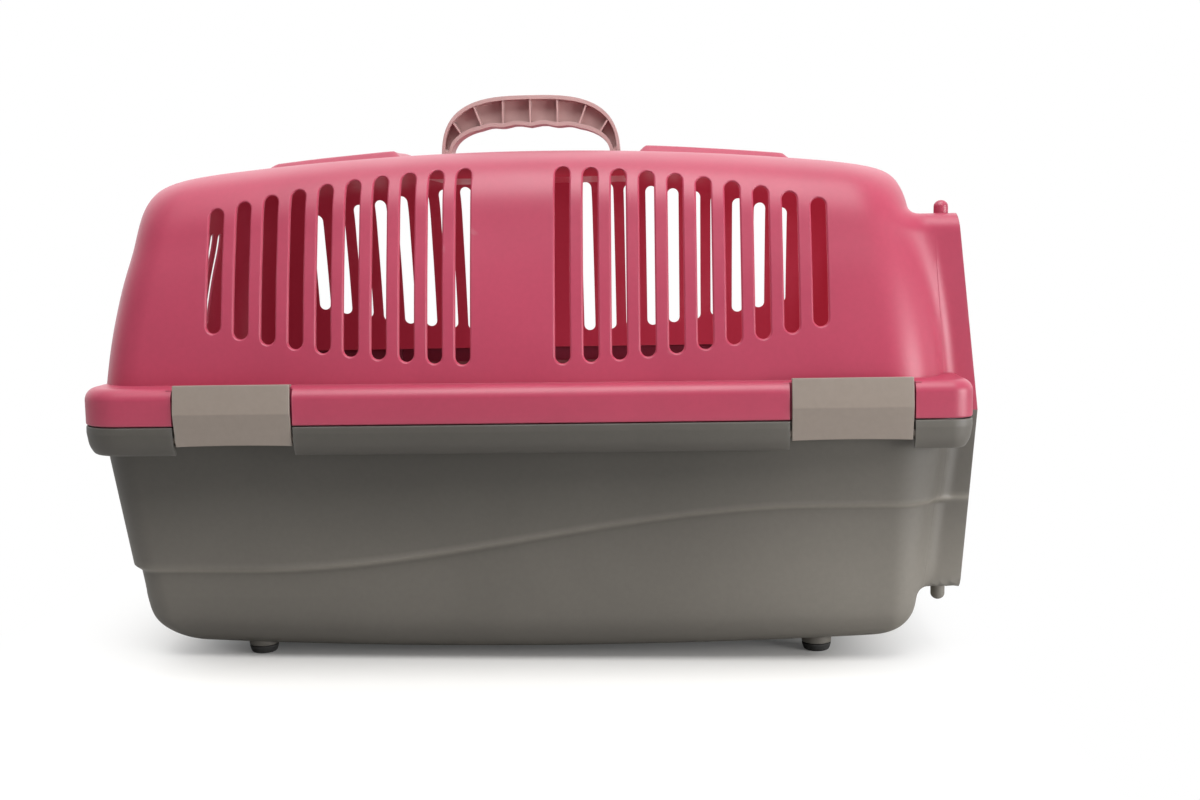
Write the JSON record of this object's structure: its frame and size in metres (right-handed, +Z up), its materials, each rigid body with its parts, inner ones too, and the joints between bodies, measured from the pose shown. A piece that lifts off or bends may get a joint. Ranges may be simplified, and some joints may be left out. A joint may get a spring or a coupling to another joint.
{
  "type": "pet transport carrier",
  "caption": "Hard-shell pet transport carrier: a slotted roof shell clipped to a deep tub, with a folding carry handle and a latched grille door at one end.",
  "frame": {"origin": "centre of the footprint, on the plane that the feet stand on", "axes": "+X towards the door, along the length; +Y towards the carrier's left side, so the door hinge is on the -Y side; +Z up"},
  "size_m": [0.6116, 0.3994, 0.4062],
  "materials": {
    "roof_plastic": "satin moulded",
    "tub_plastic": "fine grained moulded",
    "clip_plastic": "satin moulded",
    "handle_plastic": "satin moulded",
    "foot_rubber": "matte",
    "pin_steel": "plated"
  },
  "bodies": {
    "shells": {"lower_shell": "tub_plastic", "upper_shell": "roof_plastic", "foot_right_rear": "foot_rubber", "foot_right_front": "foot_rubber", "foot_left_rear": "foot_rubber", "foot_left_front": "foot_rubber", "handle_pin_rear": "pin_steel", "handle_pin_front": "pin_steel"},
    "door": {"door_grille": "clip_plastic", "door_hinge_rod": "pin_steel", "latch_cover": "clip_plastic", "latch_spring": "pin_steel", "cover_screw_upper": "pin_steel", "cover_screw_lower": "pin_steel"},
    "upper_bolt": {"latch_bolt_upper": "handle_plastic"},
    "lower_bolt": {"latch_bolt_lower": "handle_plastic"},
    "handle": {"carry_handle": "handle_plastic"},
    "clip_right_rear": {"side_clip_right_rear": "clip_plastic"},
    "clip_right_front": {"side_clip_right_front": "clip_plastic"},
    "clip_left_rear": {"side_clip_left_rear": "clip_plastic"},
    "clip_left_front": {"side_clip_left_front": "clip_plastic"}
  },
  "joints": [
    {"name": "door_hinge", "type": "hinge", "parent": "shells", "child": "door", "pos_m": [0.28275, -0.127, 0.175], "axis": [0, 0, -1], "range_deg": [0, 110]},
    {"name": "latch_upper_slide", "type": "slide", "parent": "door", "child": "upper_bolt", "axis": [0, 0, 1], "range_m": [0, 0.007], "deforming": ["latch_spring"]},
    {"name": "latch_lower_slide", "type": "slide", "parent": "door", "child": "lower_bolt", "axis": [0, 0, -1], "range_m": [0, 0.007]},
    {"name": "handle_fold", "type": "hinge", "parent": "shells", "child": "handle", "pos_m": [-0.01005, 0, 0.354], "axis": [1, 0, 0], "range_deg": [-90, 90]},
    {"name": "clip_right_rear_hinge", "type": "hinge", "parent": "shells", "child": "clip_right_rear", "pos_m": [-0.19655, -0.1915, 0.1655], "axis": [1, 0, 0], "range_deg": [0, 100]},
    {"name": "clip_right_front_hinge", "type": "hinge", "parent": "shells", "child": "clip_right_front", "pos_m": [0.21425, -0.1915, 0.1655], "axis": [1, 0, 0], "range_deg": [0, 100]},
    {"name": "clip_left_rear_hinge", "type": "hinge", "parent": "shells", "child": "clip_left_rear", "pos_m": [-0.19655, 0.1915, 0.1655], "axis": [-1, 0, 0], "range_deg": [0, 100]},
    {"name": "clip_left_front_hinge", "type": "hinge", "parent": "shells", "child": "clip_left_front", "pos_m": [0.21425, 0.1915, 0.1655], "axis": [-1, 0, 0], "range_deg": [0, 100]}
  ],
  "couplings": [
    {"joint": "latch_lower_slide", "follows": "latch_upper_slide", "ratio": 1}
  ]
}
